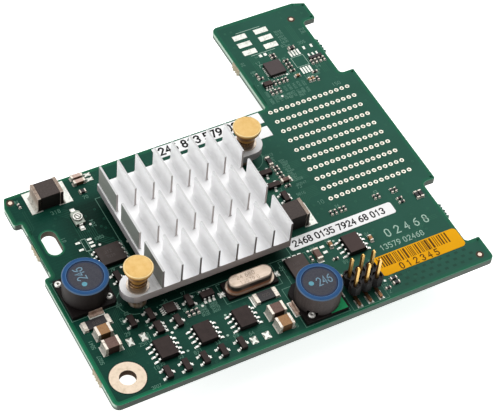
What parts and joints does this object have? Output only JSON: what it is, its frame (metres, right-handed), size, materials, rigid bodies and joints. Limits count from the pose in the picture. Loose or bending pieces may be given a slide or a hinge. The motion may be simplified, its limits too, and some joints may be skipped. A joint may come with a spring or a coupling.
{
  "type": "mezzanine network card",
  "caption": "Mezzanine network card: an L-shaped green circuit board with a finned heat sink on spring pins, power parts, a pin header and a press-fit connector below.",
  "frame": {"origin": "axis of the round mounting hole at the underside of the circuit board", "axes": "+X along the rows of connector vias and the long front edge, +Y towards the tab at the back, +Z out of the component face"},
  "size_m": [0.0879, 0.0838, 0.0229],
  "materials": {
    "ceramic_mauve": "fired ceramic",
    "ceramic_tan": "fired ceramic",
    "end_metal": "tin plated",
    "chip_black": "glazed",
    "board": "dark green solder mask, semi-gloss",
    "gold": "gold plated",
    "connector_black": "moulded, satin",
    "solder": "tinned copper, satin",
    "black_moulding": "moulded, fine grain",
    "crystal_metal": "drawn can, satin nickel",
    "lead_metal": "tin plated",
    "sink_metal": "anodised clear, satin",
    "ferrite_top": "sintered, sealed",
    "ferrite": "sintered ferrite",
    "tinned_copper": "tinned copper strap",
    "ceramic_dark": "fired ceramic",
    "white_label": "printed film label, blank",
    "nylon": "natural",
    "spring_steel": "drawn wire",
    "brass_pin": "turned, polished",
    "yellow_label": "printed film label with plain stripes",
    "thermal_grey": "soft pad",
    "ceramic_white": "glazed ceramic"
  },
  "bodies": {
    "root": {"capacitor_bodies_mauve": "ceramic_mauve", "capacitor_bodies_tan": "ceramic_tan", "chip_end_caps": "end_metal", "chip_resistor_bodies": "chip_black", "circuit_board": "board", "connector_contacts": "gold", "connector_housing": "connector_black", "connector_vias": "solder", "controller_package": "black_moulding", "crystal_base": "black_moulding", "crystal_can": "crystal_metal", "crystal_leads": "lead_metal", "header_body": "connector_black", "header_pins": "gold", "heat_sink": "sink_metal", "heat_sink_ears": "sink_metal", "heat_sink_fins": "sink_metal", "inductor_bases": "black_moulding", "inductor_drums": "ferrite_top", "inductor_shells": "ferrite", "inductor_terminals": "tinned_copper", "large_capacitor_bodies": "ceramic_dark", "large_capacitor_ends": "end_metal", "leadless_chip": "black_moulding", "mounting_pads": "solder", "paper_labels": "white_label", "pin_sleeves": "nylon", "pin_springs": "spring_steel", "pin_washers": "spring_steel", "power_chip_bodies": "black_moulding", "power_chip_leads": "lead_metal", "sense_resistor_bodies": "chip_black", "sense_resistor_ends": "end_metal", "small_chip_bodies": "black_moulding", "small_chip_leads": "lead_metal", "so8_bodies": "black_moulding", "so8_leads": "lead_metal", "solder_pads": "solder", "spring_pins": "brass_pin", "striped_label": "yellow_label", "thermal_pad": "thermal_grey", "transistor_bodies": "black_moulding", "transistor_leads": "lead_metal", "trimmer_base": "ceramic_white", "trimmer_rotor": "lead_metal", "trimmer_tabs": "lead_metal"}
  },
  "joints": []
}
